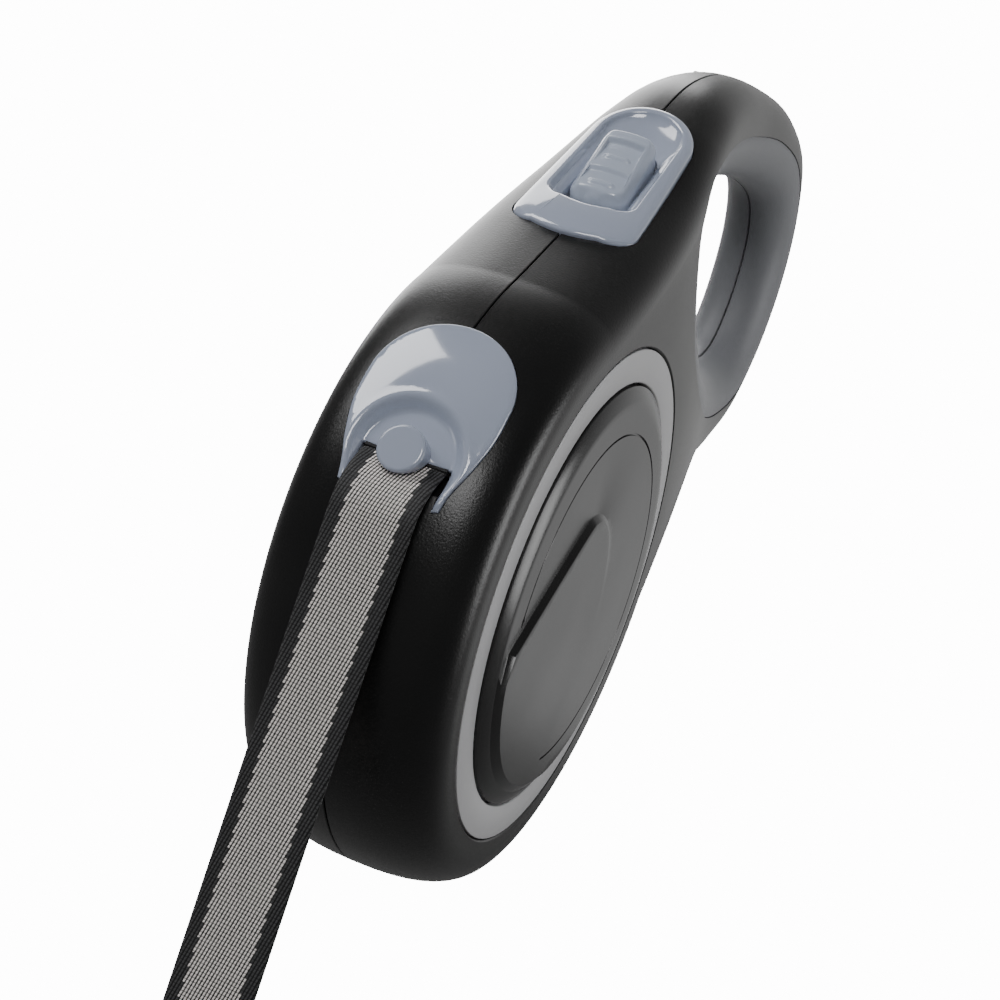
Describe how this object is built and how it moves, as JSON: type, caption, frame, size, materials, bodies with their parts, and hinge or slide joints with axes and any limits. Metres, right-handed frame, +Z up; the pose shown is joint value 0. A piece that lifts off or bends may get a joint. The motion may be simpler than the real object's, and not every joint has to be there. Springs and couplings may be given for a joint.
{
  "type": "retractable leash",
  "caption": "Retractable tape leash: round spool case with a hand loop, thumb brake, side caps, and a flat tape ending in a swivel snap hook.",
  "frame": {"origin": "centre of the hand opening, on the parting plane of the two case halves", "axes": "+X across the case, square to the parting plane; +Y from the spool back to the hand loop; +Z up, with the tape hanging along -Z in front of the case"},
  "size_m": [0.035, 0.1685, 0.2426],
  "materials": {
    "case_black": "black, fine-textured, moulded",
    "trim_grey": "glossy blue-grey, moulded",
    "ring_grey": "satin light grey",
    "cap_black": "black, semi-gloss",
    "grip_grey": "soft grey moulded grip",
    "tape": "woven tape with a reflective centre stripe",
    "inner_plastic": "natural moulded plastic",
    "steel": "plain steel",
    "chrome": "plated, polished",
    "spring_steel": "spring steel",
    "stopper_black": "black, moulded"
  },
  "bodies": {
    "case": {"case_right": "case_black", "case_left": "case_black", "nose_trim": "trim_grey", "brake_bezel": "trim_grey", "side_ring_right": "ring_grey", "side_ring_left": "ring_grey", "side_cap_right": "cap_black", "side_cap_left": "cap_black", "grip_liner_right": "grip_grey", "grip_liner_left": "grip_grey", "case_screw_1": "steel", "case_screw_2": "steel", "case_screw_3": "steel", "case_screw_4": "steel", "spool_axle": "steel", "spring_arbor": "inner_plastic", "roller_pin": "steel", "pawl_pin": "steel", "pawl_spring": "spring_steel", "tape_lead": "tape", "tape_free": "tape", "tape_loop": "tape", "tape_stopper": "stopper_black"},
    "spool": {"ratchet_flange": "inner_plastic", "spool_hub": "inner_plastic", "spool_cover": "inner_plastic", "spool_screw_1": "steel", "spool_screw_2": "steel", "spool_screw_3": "steel", "tape_pack": "tape", "mainspring": "spring_steel"},
    "roller": {"guide_roller": "inner_plastic"},
    "carriage": {"brake_carriage": "inner_plastic"},
    "button": {"brake_button": "trim_grey"},
    "pawl": {"brake_pawl": "inner_plastic"},
    "eye": {"hook_eye": "chrome"},
    "hook": {"hook_body": "chrome", "bolt_spring": "spring_steel"},
    "bolt": {"hook_bolt": "chrome"}
  },
  "joints": [
    {"name": "spool_turn", "type": "hinge", "parent": "case", "child": "spool", "pos_m": [0, -0.06, -0.058], "axis": [1, 0, 0], "continuous": true},
    {"name": "roller_turn", "type": "hinge", "parent": "case", "child": "roller", "pos_m": [0, -0.1002, -0.0446], "axis": [1, 0, 0], "continuous": true},
    {"name": "brake_press", "type": "slide", "parent": "case", "child": "carriage", "axis": [0, 0.6561, -0.7547], "range_m": [0, 0.003], "stiffness_N_per_m": 400, "springref_m": -0.001},
    {"name": "brake_lock", "type": "slide", "parent": "carriage", "child": "button", "axis": [0, -0.7547, -0.6561], "range_m": [0, 0.0024]},
    {"name": "pawl_swing", "type": "hinge", "parent": "case", "child": "pawl", "pos_m": [0, -0.0665, -0.011], "axis": [1, 0, 0], "range_deg": [-10, 0]},
    {"name": "eye_swing", "type": "hinge", "parent": "case", "child": "eye", "pos_m": [0, -0.10935, -0.148], "axis": [1, 0, 0], "range_deg": [-35, 35]},
    {"name": "hook_swivel", "type": "hinge", "parent": "eye", "child": "hook", "pos_m": [0, -0.10935, -0.159], "axis": [0, 0, 1], "continuous": true},
    {"name": "bolt_slide", "type": "slide", "parent": "hook", "child": "bolt", "axis": [0, 0, 1], "range_m": [0, 0.0075], "stiffness_N_per_m": 300, "springref_m": -0.002, "deforming": ["bolt_spring"]}
  ],
  "couplings": [
    {"joint": "pawl_swing", "follows": "brake_press", "rad_per_m": -55.9},
    {"joint": "roller_turn", "follows": "spool_turn", "ratio": 24.9}
  ]
}
